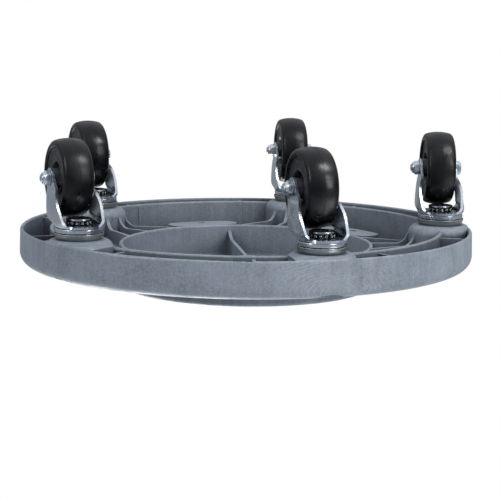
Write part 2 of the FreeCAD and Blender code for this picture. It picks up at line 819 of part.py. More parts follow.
def make_axle_nut(number):
    """Hexagon nut with a locking collar, on the -X side."""
    body = new_body(f"axle_nut_{number}")
    bearing = "(fork_inside + sheet_steel)"
    hex_end = f"({bearing} + axle_nut_height)"
    made = hexagon(cross_sketch(body, "NutOutline", f"-{hex_end}"), "axle_hex")
    extruded(body, "Nut", made, "axle_nut_height")
    points = [
        (f"-{hex_end} - axle_collar_height", "0"),
        (f"-{hex_end} - axle_collar_height", "axle_collar_radius - 1.2"),
        (f"-{hex_end} - axle_collar_height + 1.2", "axle_collar_radius"),
        (f"-{hex_end}", "axle_collar_radius"),
        (f"-{hex_end}", "0"),
    ]
    made = outline(axle_sketch(body, "CollarOutline"), points, {1: ("1.2", -1)})
    turned(body, "Collar", made, axis="H_Axis")
    corner = "axle_hex / 2 / cos(30)"
    points = [
        (f"-{hex_end}", "axle_hex / 2 - 0.4"),
        (f"-{hex_end} + 1.1", f"{corner} + 0.5"),
        (f"-{hex_end}", f"{corner} + 0.5"),
    ]
    made = outline(axle_sketch(body, "NutChamferOutline"), points)
    turned(body, "NutChamfer", made, axis="H_Axis", cut=True)
    made = cross_sketch(body, "NutBoreOutline", f"1 - {bearing}")
    ring(made, "0", "0", "axle_radius")
    length = "axle_nut_height + axle_collar_height + 2"
    extruded(body, "NutBore", made, length, cut=True)
    body.Placement = wheel_placement(number)


def tube(body, name, inside, outside, half_length):
    """A plain tube about the axle."""
    points = [
        (f"-{half_length}", inside),
        (f"-{half_length}", outside),
        (half_length, outside),
        (half_length, inside),
    ]
    turned(body, name, outline(axle_sketch(body, name + "Outline"), points), axis="H_Axis")


def make_axle_sleeve(number):
    body = new_body(f"axle_sleeve_{number}")
    tube(body, "Sleeve", "axle_radius", "sleeve_radius", "fork_inside")
    body.Placement = wheel_placement(number)


# ---------------------------------------------------------------- wheel


def make_hub_bush(number):
    body = new_body(f"hub_bush_{number}")
    tube(body, "Bush", "sleeve_radius + running_gap", "bush_radius", "hub_half_width")
    body.Placement = wheel_placement(number)


def make_wheel_core(number):
    """Moulded core: hub, a deep recess round it, and a flat web face."""
    body = new_body(f"wheel_core_{number}")
    side = [
        ("hub_half_width", "bush_radius"),
        ("hub_half_width", "hub_radius - edge_break"),
        ("hub_half_width - edge_break", "hub_radius"),
        ("recess_half_width", "hub_radius + 0.6"),
        ("recess_half_width", "recess_radius"),
        ("web_half_width", "recess_rim_radius"),
        ("web_half_width", "tyre_seat"),
    ]
    points = [(f"-({x})", y) for x, y in side] + side[::-1]
    turned(body, "Core", outline(axle_sketch(body, "CoreOutline"), points), axis="H_Axis")
    body.Placement = wheel_placement(number)


def make_tyre(number):
    """Solid tyre with rounded shoulders and a slightly crowned tread."""
    body = new_body(f"tyre_{number}")
    half = "wheel_width / 2"
    shoulder_x = "(wheel_width / 2 - tyre_round)"
    tread_centre = "(wheel_radius - tread_radius)"
    reach = "(tread_radius - tyre_round)"
    rise = f"sqrt(pow({reach}; 2) - pow({shoulder_x}; 2))"
    side = [
        ("web_half_width", "tyre_seat"),
        (f"{half} - 1.2", "tyre_seat + 0.4"),
        (half, "tyre_seat + 2"),
        (half, f"{tread_centre} + {rise}"),
        (f"{shoulder_x} * tread_radius / {reach}", f"{tread_centre} + {rise} * tread_radius / {reach}"),
    ]
    points = [(f"-({x})", y) for x, y in side] + side[::-1]
    arcs = {3: ("tyre_round", -1), 4: ("tread_radius", -1), 5: ("tyre_round", -1)}
    made = outline(axle_sketch(body, "TyreOutline"), points, arcs)
    turned(body, "Tyre", made, axis="H_Axis")
    body.Placement = wheel_placement(number)


# ---------------------------------------------------------------- build, check and write

make_deck()
make_stem_washers()
make_stem_nuts()
CASTER_PIECES = [
    make_stem,
    make_top_race,
    make_race_balls,
    make_bottom_race,
    make_fork,
    make_axle_bolt,
    make_axle_nut,
    make_axle_sleeve,
    make_wheel_core,
    make_tyre,
    make_hub_bush,
]
for caster in range(1, CASTER_COUNT + 1):
    for make_piece in CASTER_PIECES:
        make_piece(caster)
doc.recompute()

for thing in doc.Objects:
    if "Invalid" in thing.State or "Error" in thing.State:
        raise RuntimeError(f"{thing.Label} failed: {thing.State}")
for node in nodes:
    if node.Shape.isNull() or not node.Shape.isValid():
        raise RuntimeError(f"{node.Label} has no valid shape")

os.makedirs("parts", exist_ok=True)
for node in nodes:
    node.Shape.exportStep(f"parts/{node.Label}.step")
    print(f"{node.Label}: {len(node.Shape.Solids)} solids, {node.Shape.Volume / 1000:.2f} cm3")
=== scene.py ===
"""Looks of the drum dolly: detailed casters, deck finish, floor, lights and camera.

Everything is in metres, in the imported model's frame: +Z up, floor at Z = 0, deck axis at X = Y = 0.
The camera looks up at the ribbed underside from below the floor, with -Z up in the picture, so
that the dolly shows wheels up. The camera sees the floor from above only.
"""
import json
import math

import bmesh
import bpy
from mathutils import Matrix, Vector


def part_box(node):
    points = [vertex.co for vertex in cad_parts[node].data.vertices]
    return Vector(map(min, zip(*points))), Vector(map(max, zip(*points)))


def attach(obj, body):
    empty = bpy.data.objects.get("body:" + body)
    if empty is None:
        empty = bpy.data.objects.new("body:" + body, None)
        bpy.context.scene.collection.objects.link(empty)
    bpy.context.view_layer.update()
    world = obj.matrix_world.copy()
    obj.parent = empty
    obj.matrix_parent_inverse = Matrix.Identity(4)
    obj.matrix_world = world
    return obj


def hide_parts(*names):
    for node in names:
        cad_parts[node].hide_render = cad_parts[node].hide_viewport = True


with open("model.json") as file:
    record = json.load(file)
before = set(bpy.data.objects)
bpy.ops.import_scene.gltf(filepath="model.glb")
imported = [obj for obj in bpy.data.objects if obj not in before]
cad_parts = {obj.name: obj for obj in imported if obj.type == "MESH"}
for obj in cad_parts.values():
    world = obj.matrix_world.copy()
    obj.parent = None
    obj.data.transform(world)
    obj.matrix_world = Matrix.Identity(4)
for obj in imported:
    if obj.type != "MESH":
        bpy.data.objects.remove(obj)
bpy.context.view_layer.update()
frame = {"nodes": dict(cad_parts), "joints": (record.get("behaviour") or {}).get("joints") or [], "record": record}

MM = 0.001
CASTER_COUNT = 5
joints = {joint["name"]: joint for joint in frame["joints"]}
scene = bpy.context.scene


# ---------------------------------------------------------------- where things are

deck_low, deck_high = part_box("deck")
BOSS_FACE = deck_low.z
SKIRT_EDGE = BOSS_FACE + 2.5 * MM
# A lathe turns about X; this stands its X axis upright.
UPRIGHT = Matrix(((0, 1, 0, 0), (0, 0, 1, 0), (1, 0, 0, 0), (0, 0, 0, 1)))


def caster_matrix(number):
    """From a caster's own frame, axle along X and trail towards -Y, to the model's frame."""
    pivot = joints[f"swivel_{number}_turn"]["pos_m"]
    axle = joints[f"wheel_{number}_roll"]["axis"]
    turn = Matrix.Rotation(math.atan2(axle[1], axle[0]), 4, "Z")
    return Matrix.Translation((pivot[0], pivot[1], 0)) @ turn


def wheel_matrix(number):
    """The same directions, with the origin at the wheel's centre."""
    centre = Vector(joints[f"wheel_{number}_roll"]["pos_m"])
    return Matrix.Translation(centre) @ caster_matrix(number).to_3x3().to_4x4()


# ---------------------------------------------------------------- camera, floor and light

CAMERA_AZIMUTH = math.radians(16.0)
ACROSS = Vector((math.cos(CAMERA_AZIMUTH), -math.sin(CAMERA_AZIMUTH), 0))
TOWARD = Vector((math.sin(CAMERA_AZIMUTH), math.cos(CAMERA_AZIMUTH), 0))
# The lights' heights in the picture are counted from here.
PICTURE_MIDDLE = 0.096


def camera():
    """Looks at the underside from 8 degrees off the deck's plane, wheels up in the picture."""
    data = bpy.data.cameras.new("Camera")
    data.lens = 105.77
    made = bpy.data.objects.new("Camera", data)
    scene.collection.objects.link(made)
    elevation = math.radians(8.04)
    roll = math.radians(0.67)
    distance = 1.52413
    aim_across, aim_raised = 4.2, 26.4
    deck_centre = Vector((0, 0, SKIRT_EDGE))
    drop = Vector((0, 0, math.sin(elevation)))
    place = deck_centre + distance * (TOWARD * math.cos(elevation) - drop)
    aim = deck_centre + ACROSS * aim_across * MM + Vector((0, 0, aim_raised * MM))
    back = (place - aim).normalized()
    right = (ACROSS - back * ACROSS.dot(back)).normalized()
    up = back.cross(right)
    turned = Matrix((right, up, back)).transposed().to_4x4()
    made.matrix_world = Matrix.Translation(place) @ turned @ Matrix.Rotation(roll, 4, "Z")
    scene.camera = made


def link_mesh(name, mesh):
    made = bpy.data.objects.new(name, mesh)
    scene.collection.objects.link(made)
    return made


def set_inputs(node, values):
    for key, value in values.items():
        node.inputs[key].default_value = value


def floor_material():
    """Pale paint that only the camera sees, and only from above; every other ray passes through.
    Away from the dolly it fades into the white surround, so that it has no horizon."""
    made = bpy.data.materials.new("pale_floor")
    made.use_nodes = True
    tree = made.node_tree
    tree.nodes.clear()
    paint = tree.nodes.new("ShaderNodeBsdfDiffuse")
    paint.inputs["Color"].default_value = (0.86, 0.86, 0.87, 1)
    clear = tree.nodes.new("ShaderNodeBsdfTransparent")
    side = tree.nodes.new("ShaderNodeNewGeometry")
    away = tree.nodes.new("ShaderNodeVectorMath")
    away.operation = "LENGTH"
    tree.links.new(side.outputs["Position"], away.inputs[0])
    fade = tree.nodes.new("ShaderNodeMapRange")
    fade.interpolation_type = "SMOOTHSTEP"
    set_inputs(fade, {"From Min": 0.45, "From Max": 1.8})
    tree.links.new(away.outputs["Value"], fade.inputs["Value"])
    white = tree.nodes.new("ShaderNodeEmission")
    surround = tree.nodes.new("ShaderNodeMixShader")
    tree.links.new(fade.outputs["Result"], surround.inputs["Fac"])
    tree.links.new(paint.outputs[0], surround.inputs[1])
    tree.links.new(white.outputs[0], surround.inputs[2])
    path = tree.nodes.new("ShaderNodeLightPath")
    front = tree.nodes.new("ShaderNodeMath")
    front.operation = "SUBTRACT"
    tree.links.new(path.outputs["Is Camera Ray"], front.inputs[0])
    tree.links.new(side.outputs["Backfacing"], front.inputs[1])
    front.use_clamp = True
    mix = tree.nodes.new("ShaderNodeMixShader")
    tree.links.new(front.outputs[0], mix.inputs["Fac"])
    tree.links.new(clear.outputs[0], mix.inputs[1])
    tree.links.new(surround.outputs[0], mix.inputs[2])
    out = tree.nodes.new("ShaderNodeOutputMaterial")
    tree.links.new(mix.outputs[0], out.inputs["Surface"])
    return made


def floor():
    half = 6.0
    mesh = bpy.data.meshes.new("floor")
    corners = [(-half, -half, 0), (half, -half, 0), (half, half, 0), (-half, half, 0)]
    mesh.from_pydata(corners, [], [(0, 1, 2, 3)])
    made = link_mesh("floor", mesh)
    mesh.materials.append(floor_material())


def softbox(name, place, size, power, target=(0, 0, 0.09)):
    """A rectangular light at a place, turned to the target."""
    data = bpy.data.lights.new(name, "AREA")
    data.shape = "RECTANGLE"
    data.size, data.size_y = size
    data.energy = power
    made = bpy.data.objects.new(name, data)
    scene.collection.objects.link(made)
    made.location = place
    made.rotation_mode = "QUATERNION"
    made.rotation_quaternion = (Vector(target) - Vector(place)).to_track_quat("-Z", "Y")


def picture_place(right, near, up):
    """A place given as the camera sees it: to its right, towards it, and up in the picture."""
    return ACROSS * right + TOWARD * near + Vector((0, 0, PICTURE_MIDDLE - up))


def studio_world():
    """White to look at. As a light it is brightest overhead and below, and dim at the horizon, so
    that metal and rubber have something to reflect."""
    world = bpy.data.worlds.new("studio")
    scene.world = world
    world.use_nodes = True
    tree = world.node_tree
    tree.nodes.clear()
    direction = tree.nodes.new("ShaderNodeTexCoord")
    parts = tree.nodes.new("ShaderNodeSeparateXYZ")
    tree.links.new(direction.outputs["Generated"], parts.inputs[0])
    height = tree.nodes.new("ShaderNodeMath")
    height.operation = "ABSOLUTE"
    tree.links.new(parts.outputs["Z"], height.inputs[0])
    level = tree.nodes.new("ShaderNodeMapRange")
    level.interpolation_type = "SMOOTHSTEP"
    set_inputs(level, {"From Min": 0.05, "From Max": 0.85, "To Min": 0.34, "To Max": 0.95})
    tree.links.new(height.outputs[0], level.inputs["Value"])
    glow = tree.nodes.new("ShaderNodeBackground")
    tree.links.new(level.outputs["Result"], glow.inputs["Strength"])
    white = tree.nodes.new("ShaderNodeBackground")
    white.inputs["Color"].default_value = (1, 1, 1, 1)
    glow.inputs["Color"].default_value = (0.88, 0.93, 1, 1)
    path = tree.nodes.new("ShaderNodeLightPath")
    mix = tree.nodes.new("ShaderNodeMixShader")
    tree.links.new(path.outputs["Is Camera Ray"], mix.inputs["Fac"])
    tree.links.new(glow.outputs[0], mix.inputs[1])
    tree.links.new(white.outputs[0], mix.inputs[2])
    out = tree.nodes.new("ShaderNodeOutputWorld")
    tree.links.new(mix.outputs[0], out.inputs["Surface"])


def lights():
    studio_world()
    softbox("key_below", picture_place(0.9, 0.6, 1.5), (0.5, 0.5), 14)
    softbox("strip_right", picture_place(1.15, 1.1, 0.6), (0.3, 0.9), 8)
    softbox("strip_left", picture_place(-1.3, 1.0, 0.9), (0.3, 0.9), 8)
    softbox("key_above", (-0.9, -1.2, 1.9), (1.2, 1.2), 30)
    softbox("fill_above", (1.6, 0.6, 1.2), (1.0, 1.0), 10)
    scene.view_settings.view_transform = "Standard"
    scene.view_settings.look = "None"


# ---------------------------------------------------------------- materials


class Nodes:
    """Short names for building a material's node tree."""

    def __init__(self, name):
        self.material = bpy.data.materials.new(name)
        self.material.use_nodes = True
        self.tree = self.material.node_tree
        self.surface = self.tree.nodes["Principled BSDF"]
        self.place = self.add("ShaderNodeTexCoord").outputs["Object"]

    def add(self, kind, **settings):
        node = self.tree.nodes.new(kind)
        for key, value in settings.items():
            setattr(node, key, value)
        return node

    def put(self, value, socket):
        """A link if the value is another node's output, and a plain value if it isn't."""
        if isinstance(value, bpy.types.NodeSocket):
            self.tree.links.new(value, socket)
        elif hasattr(socket.default_value, "__len__") and not hasattr(value, "__len__"):
            socket.default_value = (value,) * len(socket.default_value)
        elif hasattr(value, "__len__") and len(socket.default_value) == 4:
            socket.default_value = (*value[:3], 1)
        else:
            socket.default_value = value

    def stretched(self, scale, place=None):
        node = self.add("ShaderNodeMapping")
        self.put(place or self.place, node.inputs["Vector"])
        self.put(scale, node.inputs["Scale"])
        return node.outputs["Vector"]

    def noise(self, scale, detail=3.0, rough=0.5, distortion=0.0, place=None):
        node = self.add("ShaderNodeTexNoise")
        self.put(place or self.place, node.inputs["Vector"])
        set_inputs(node, {"Scale": scale, "Detail": detail})
        set_inputs(node, {"Roughness": rough, "Distortion": distortion})
        return node.outputs["Fac"]

    def ramp(self, value, low, high, to_low=0.0, to_high=1.0):
        """Maps low..high smoothly to to_low..to_high."""
        node = self.add("ShaderNodeMapRange", interpolation_type="SMOOTHSTEP")
        self.put(value, node.inputs["Value"])
        set_inputs(node, {"From Min": low, "From Max": high})
        set_inputs(node, {"To Min": to_low, "To Max": to_high})
        return node.outputs["Result"]

    def maths(self, operation, first, second=0.0):
        node = self.add("ShaderNodeMath", operation=operation)
        self.put(first, node.inputs[0])
        self.put(second, node.inputs[1])
        return node.outputs[0]

    def mixed(self, factor, first, second):
        node = self.add("ShaderNodeMix", data_type="RGBA")
        self.put(factor, node.inputs["Factor"])
        a, b = [s for s in node.inputs if s.type == "RGBA"]
        self.put(first, a)
        self.put(second, b)
        return next(s for s in node.outputs if s.type == "RGBA")

    def painted_hollow_shade(self, distance, shut, clear, most):
        """Painted shade: how hidden a place is by what stands within a distance, as a share from most, fading to
        nothing.
        """
        node = self.add("ShaderNodeAmbientOcclusion", samples=6)
        node.inputs["Distance"].default_value = distance
        return self.ramp(node.outputs["AO"], shut, clear, most, 0.0)

    def bump(self, height, distance, strength=1.0, under=None):
        node = self.add("ShaderNodeBump")
        set_inputs(node, {"Strength": strength, "Distance": distance})
        self.put(height, node.inputs["Height"])
        if under is not None:
            self.tree.links.new(under, node.inputs["Normal"])
        return node.outputs["Normal"]

    def finish(self, colour, roughness, normal=None, metallic=0.0, specular=0.5):
        self.put(colour, self.surface.inputs["Base Color"])
        self.put(roughness, self.surface.inputs["Roughness"])
        self.put(metallic, self.surface.inputs["Metallic"])
        self.surface.inputs["Specular IOR Level"].default_value = specular
        if normal is not None:
            self.tree.links.new(normal, self.surface.inputs["Normal"])
        return self.material


def skirt_swirl(n):
    """Pale flow marks that curl round one place on the skirt, fading out around it."""
    azimuth = math.radians(37.0)
    radius = deck_high.x - 1 * MM
    eye = (radius * math.sin(azimuth), radius * math.cos(azimuth), SKIRT_EDGE + 30 * MM)
    offset = n.add("ShaderNodeVectorMath", operation="SUBTRACT")
    n.put(n.place, offset.inputs[0])
    n.put(eye, offset.inputs[1])
    wave = n.add("ShaderNodeTexWave", wave_type="RINGS", rings_direction="SPHERICAL")
    n.put(n.stretched((1, 1, 2.2), offset.outputs["Vector"]), wave.inputs["Vector"])
    set_inputs(wave, {"Scale": 60, "Distortion": 9.0, "Detail": 4.0, "Detail Scale": 1.0})
    reach = n.add("ShaderNodeVectorMath", operation="LENGTH")
    n.put(offset.outputs["Vector"], reach.inputs[0])
    fade = n.ramp(reach.outputs["Value"], 20 * MM, 90 * MM, 1.0, 0.0)
    fade = n.maths("MULTIPLY", fade, n.ramp(n.noise(30, 3, 0.6), 0.35, 0.65))
    return n.maths("MULTIPLY", n.ramp(wave.outputs["Fac"], 0.45, 0.95), fade)


def foam_plastic():
    """Blue-grey structural foam: cloudy, with fine mottling and drawn streaks; painted shade darkens it
    down in its recesses, and a painted highlight, patchy like wear, lightens its edges."""
    n = Nodes("foam_plastic")
    pale, deep = (0.42, 0.46, 0.50), (0.030, 0.037, 0.048)
    cloud = n.ramp(n.noise(16, 5, 0.7, 1.0), 0.34, 0.66)
    fine = n.ramp(n.noise(480, 4, 0.75), 0.34, 0.66)
    streak = n.ramp(n.noise(1, 4, 0.65, 0.3, n.stretched((210, 210, 17))), 0.4, 0.68)
    base = n.mixed(cloud, (0.120, 0.142, 0.170), (0.185, 0.213, 0.248))
    base = n.mixed(n.maths("MULTIPLY", fine, 0.5), base, (0.29, 0.325, 0.365))
    base = n.mixed(n.maths("MULTIPLY", streak, 0.16), base, (0.33, 0.37, 0.41))
    base = n.mixed(n.maths("MULTIPLY", skirt_swirl(n), 0.28), base, pale)
    # Painted shade: the deep colour where walls within 60 mm hide the place.
    base = n.mixed(n.painted_hollow_shade(60 * MM, 0.15, 0.85, 0.85), base, deep)
    # Painted highlight along the edges, patchy like wear: pale where the rounded-edge normal turns from the
    # face's.
    rounded = n.add("ShaderNodeBevel", samples=4)
    rounded.inputs["Radius"].default_value = 0.8 * MM
    flat = n.add("ShaderNodeNewGeometry").outputs["Normal"]
    turn = n.add("ShaderNodeVectorMath", operation="DOT_PRODUCT")
    n.put(rounded.outputs["Normal"], turn.inputs[0])
    n.put(flat, turn.inputs[1])
    edge = n.ramp(turn.outputs["Value"], 0.80, 0.99, 0.5, 0.0)
    edge_highlight_and_wear = n.maths("MULTIPLY", edge, n.ramp(n.noise(90, 3, 0.6), 0.3, 0.6))
    base = n.mixed(edge_highlight_and_wear, base, pale)
    rough = n.ramp(n.noise(60, 3, 0.6), 0.3, 0.7, 0.40, 0.56)
    grain = n.maths("ADD", n.noise(900, 2, 0.5), n.maths("MULTIPLY", streak, 0.6))
    return n.finish(base, rough, n.bump(grain, 0.15 * MM, 0.5), specular=0.4)


def zinc(name, blue, straw):
    """Zinc plating with blue and straw tints, fine drawing lines down it and small scuffs."""
    n = Nodes(name)
    tint = n.ramp(n.noise(38, 2, 0.5, 0.6), 0.35, 0.65)
    colour = n.mixed(tint, blue, straw)
    drawn = n.ramp(n.noise(1, 5, 0.6, 0.0, n.stretched((520, 520, 20))), 0.4, 0.65)
    scuff = n.ramp(n.noise(160, 4, 0.6, 0.4), 0.56, 0.72)
    colour = n.mixed(n.maths("MULTIPLY", drawn, 0.2), colour, [1.3 * part for part in straw])
    # Painted shade: dark blue-grey where metal within 14 mm hides the place.
    colour = n.mixed(n.painted_hollow_shade(14 * MM, 0.2, 0.75, 0.85), colour, (0.09, 0.12, 0.16))
    uneven = n.ramp(n.noise(70, 3, 0.6), 0.3, 0.7, 0.20, 0.30)
    rough = n.maths("ADD", uneven, n.maths("MULTIPLY", scuff, 0.10))
    normal = n.bump(n.maths("ADD", drawn, n.noise(300, 2)), 0.03 * MM, 0.45)
    return n.finish(colour, rough, normal, metallic=1.0)


def olive_zinc():
    """Smooth pressed race: dull olive-grey plating."""
    n = Nodes("olive_zinc")
    tint = n.ramp(n.noise(60, 3, 0.6, 0.5), 0.3, 0.7)
    colour = n.mixed(tint, (0.27, 0.30, 0.29), (0.38, 0.41, 0.40))
    rough = n.ramp(n.noise(140, 3, 0.6), 0.3, 0.7, 0.28, 0.40)
    return n.finish(colour, rough, n.bump(n.noise(500, 2), 0.02 * MM, 0.4), metallic=0.9)


def painted_shade_ball_steel():
    """Bearing balls: polished steel, made dark as painted shade for the shadowed gap between the races, with
    bright highlights left.
    """
    n = Nodes("painted_shade_ball_steel")
    colour = n.mixed(n.noise(200, 2), (0.10, 0.10, 0.10), (0.20, 0.20, 0.20))
    rough = n.ramp(n.noise(400, 2), 0.3, 0.7, 0.12, 0.24)
    return n.finish(colour, rough, n.bump(n.noise(700, 2), 0.01 * MM, 0.3), metallic=1.0)


def oiled_steel():
    """Dark, smooth steel with an uneven oil film."""
    n = Nodes("oiled_steel")
    colour = n.mixed(n.noise(150, 3), (0.30, 0.29, 0.28), (0.45, 0.45, 0.46))
    rough = n.ramp(n.noise(300, 3), 0.3, 0.7, 0.25, 0.45)
    return n.finish(colour, rough, n.bump(n.noise(600, 2), 0.02 * MM, 0.4), metallic=1.0)


def tyre_rubber():
    """Glossy black rubber with a few dull scuffs round the tread."""
    n = Nodes("tyre_rubber")
    dust = n.ramp(n.noise(80, 5, 0.65, 0.6), 0.52, 0.78)
    colour = n.mixed(n.maths("MULTIPLY", dust, 0.5), (0.0015, 0.0015, 0.0022), (0.010, 0.010, 0.013))
    rough = n.ramp(n.noise(38, 4, 0.65, 0.8), 0.35, 0.65, 0.22, 0.42)
    normal = n.bump(n.noise(60, 4, 0.6), 0.25 * MM, 0.35)
    normal = n.bump(n.noise(420, 3, 0.6), 0.04 * MM, 0.35, normal)
    return n.finish(colour, rough, normal, specular=0.27)


def wheel_plastic():
    """Moulded core, black with a faint violet cast and a fine moulded grain."""
    n = Nodes("wheel_plastic")
    dust = n.ramp(n.noise(60, 4, 0.6, 0.4), 0.4, 0.7)
    colour = n.mixed(dust, (0.006, 0.0055, 0.008), (0.014, 0.013, 0.018))
    rough = n.ramp(n.noise(150, 3, 0.6), 0.3, 0.7, 0.32, 0.48)
    return n.finish(colour, rough, n.bump(n.noise(600, 3), 0.04 * MM, 0.5), specular=0.42)


FINISHES = {
    "deck_plastic": foam_plastic(),
    "zinc_steel": zinc("zinc_plate", (0.50, 0.57, 0.66), (0.64, 0.67, 0.69)),
    "race_steel": olive_zinc(),
    "ball_steel": painted_shade_ball_steel(),
    "bush_steel": oiled_steel(),
    "wheel_plastic": wheel_plastic(),
    "tyre_rubber": tyre_rubber(),
}
# The stems' finish: a darker copy of the zinc plating, painted shade, as the stems stand in shadow under the
# crown. Their slot stays zinc_steel.
PAINTED_SHADE_ZINC = "painted_shade_zinc"
FINISHES[PAINTED_SHADE_ZINC] = zinc("painted_shade_zinc_plate", (0.13, 0.15, 0.18), (0.24, 0.25, 0.26))
SLOT_OF = {s["node"]: s["material_slot"] for s in frame["record"]["subparts"]}


def finish_cad_nodes():
    """Every carried-over node takes the finish of its slot."""
    for name, node in frame["nodes"].items():
        node.data.materials.clear()
        node.data.materials.append(FINISHES[SLOT_OF[name]])


# ---------------------------------------------------------------- mesh building


def arc(centre, radius, first, last, steps):
    """Points on a circle about (along, out), from one angle to another, in degrees."""
    angles = [math.radians(first + (last - first) * i / steps) for i in range(steps + 1)]
    return [(centre[0] + radius * math.cos(a), centre[1] + radius * math.sin(a)) for a in angles]


def soften(bm, angle=32.0):
    """Smooth shading everywhere but over edges sharper than the angle."""
    limit = math.radians(angle)
    for face in bm.faces:
        face.smooth = True
    for edge in bm.edges:
        edge.smooth = len(edge.link_faces) == 2 and edge.calc_face_angle(0.0) < limit


def made_from(bm, name, matrix, finish):
    """Ends a bmesh: outward normals, smooth shading, its place and its finish."""
    bmesh.ops.remove_doubles(bm, verts=bm.verts, dist=0.001 * MM)
    bmesh.ops.recalc_face_normals(bm, faces=bm.faces)
    soften(bm)
    mesh = bpy.data.meshes.new(name)
    bm.to_mesh(mesh)
    bm.free()
    mesh.transform(matrix)
    mesh.materials.append(FINISHES[finish])
    return link_mesh(name, mesh)


def lathe(bm, profile, segments, closed=True, shape=None):
    """Turns a profile of (along X, out) points about the X axis. shape may change a point's
    radius by its place and angle."""
    rings = []
    for along, out in profile:
        ring = []
        for step in range(segments):
            angle = math.tau * step / segments
            radius = shape(along, out, angle) if shape else out
            ring.append(bm.verts.new((along, radius * math.cos(angle), radius * math.sin(angle))))
        rings.append(ring)
    pairs = list(zip(rings, rings[1:] + rings[:1])) if closed else list(zip(rings, rings[1:]))
    for first, second in pairs:
        for step in range(segments):
            after = (step + 1) % segments
            bm.faces.new((first[step], first[after], second[after], second[step]))
    return rings


def to_metres(bm):
    bmesh.ops.scale(bm, vec=(MM, MM, MM), verts=bm.verts)


def mirrored_profile(side):
    """A profile given for +X only, from inside to outside, closed through the -X side."""
    return [(-along, out) for along, out in side] + side[::-1]


# ---------------------------------------------------------------- wheel


def tyre(number):
    """Rounded shoulders, a crowned tread with a fine mould line, and a lip beside the core. It is
    0.02 mm smaller than the part's own tyre, so that it stays inside the part's box."""
    shoulder, shoulder_height, round_radius = 10.0, 31.83, 4.98
    tread, crown_radius = 38.08, 45.0
    crown_centre = tread - crown_radius
    shoulder_step = 0.15
    mould_line = (0.3, 37.88)
    meeting = math.degrees(math.asin((shoulder_height - crown_centre) / (crown_radius - round_radius)))
    side = [(12.6, 29.4), (13.4, 29.5), (13.8, 29.8), (14.4, 30.4), (14.83, 31.1)]
    side += arc((shoulder, shoulder_height), round_radius, 0, 66, 9)
    side += arc((shoulder, shoulder_height), round_radius - shoulder_step, 68, meeting, 2)
    side += arc((0, crown_centre), crown_radius, meeting + 1, 89.3, 8)
    side += [mould_line]
    profile = [(x * MM, r * MM) for x, r in mirrored_profile(side)]
    bm = bmesh.new()
    lathe(bm, profile, 128)
    made = made_from(bm, f"tyre_solid_{number}", wheel_matrix(number), "tyre_rubber")
    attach(made, f"wheel_{number}")
    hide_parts(f"tyre_{number}")


def wheel_core(number):
    """Flat web face between a raised rim bead and a deep recess round the hub."""
    side = [
        # the hub's face and its rounded end
        (16.3, 7.5), (16.3, 8.9), (16.1, 9.35), (15.7, 9.6),
        # the recess round the hub
        (7.2, 10.1), (6.2, 10.6), (6.0, 11.3), (6.1, 13.4), (6.8, 14.2),
        # the web face and its raised inner edge
        (11.6, 15.6), (12.4, 16.0), (12.9, 16.6), (13.0, 17.2), (12.75, 17.9),
        (12.3, 18.3), (12.2, 19.0), (12.2, 26.6),
        # the rim bead
        (12.35, 27.3), (12.75, 27.7), (12.9, 28.3), (12.8, 28.9), (12.6, 29.15),
        (12.6, 29.4),
    ]
    profile = [(x * MM, r * MM) for x, r in mirrored_profile(side)]
    bm = bmesh.new()
    lathe(bm, profile, 96)
    made = made_from(bm, f"wheel_centre_{number}", wheel_matrix(number), "wheel_plastic")
    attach(made, f"wheel_{number}")
    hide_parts(f"wheel_core_{number}")


# ---------------------------------------------------------------- fork

# Stations down a fork leg: height above the axle, near and far edge along Y, outer face at the
# near edge, at the middle and at the far edge, in millimetres. The first is at the foot of the
# crown's bend, and the last carries the flat plate down to the axle. The four before the last are
# the part's own.
LEG_STATIONS = [
    (41.2, 15.43, -16.97, 18.38, 24.0, 16.97),
    (38.6, 13.8, -25.5, 20.9, 25.1, 21.4),
    (35.0, 11.0, -31.0, 21.6, 24.9, 22.4),
    (22.0, 0.8, -34.5, 22.7, 23.4, 21.8),
    (13.0, -7.0, -38.0, 21.0, 21.2, 20.3),
    (9.0, -12.0, -39.7, 19.2, 19.2, 19.2),
    (0.0, -21.0, -41.0, 19.2, 19.2, 19.2),
]
# The fork's other sizes, in millimetres. Washer faces bear on the legs at the bearing plane.
BEARING_PLANE = 19.2
CROWN_RADIUS = 24.0
CROWN_TOP = 82.3
CROWN_BEND = 3.0
KINGPIN_HOLE = 8.06
AXLE_HEIGHT = 38.1
TRAIL = 31.0
LUG_RADIUS = 10.0
SHEET = 2.5
# Degrees: between the crown's vertices, where the +X leg starts and ends, and how far the bent rim
# takes to flatten out beside it.
CROWN_STEP = 2.5
LEG_FROM, LEG_TO = -45.0, 40.0
BEND_FADE = 17.5
LUG_STEP = 10
BEND_STEPS = 6
LEG_ROWS = 26


def between(stations, height):
    """Station values at any height, on a smooth curve through the stations."""
    for i in range(len(stations) - 1):
        high, low = stations[i], stations[i + 1]
        if height >= low[0]:
            break
    before = stations[max(i - 1, 0)]
    after = stations[min(i + 2, len(stations) - 1)]
    span = high[0] - low[0]
    t = (high[0] - height) / span
    values = []
    for a, b, c, d in zip(before[1:], high[1:], low[1:], after[1:]):
        rise_b = (c - a) / max(before[0] - low[0], 1e-6) * span
        rise_c = (d - b) / max(high[0] - after[0], 1e-6) * span
        values.append(
            b * (2 * t**3 - 3 * t**2 + 1)
            + rise_b * (t**3 - 2 * t**2 + t)
            + c * (3 * t**2 - 2 * t**3)
            + rise_c * (t**3 - t**2)
        )
    return values


def leg_point(height, share):
    """A point on the leg's outer face: share runs from the far to the near edge."""
    near, far, x_near, x_middle, x_far = between(LEG_STATIONS, height)
    bow = x_middle - (x_far + x_near) / 2
    x = (1 - share) * x_far + share * x_near + 4 * bow * share * (1 - share)
    return max(x, BEARING_PLANE), far + (near - far) * share


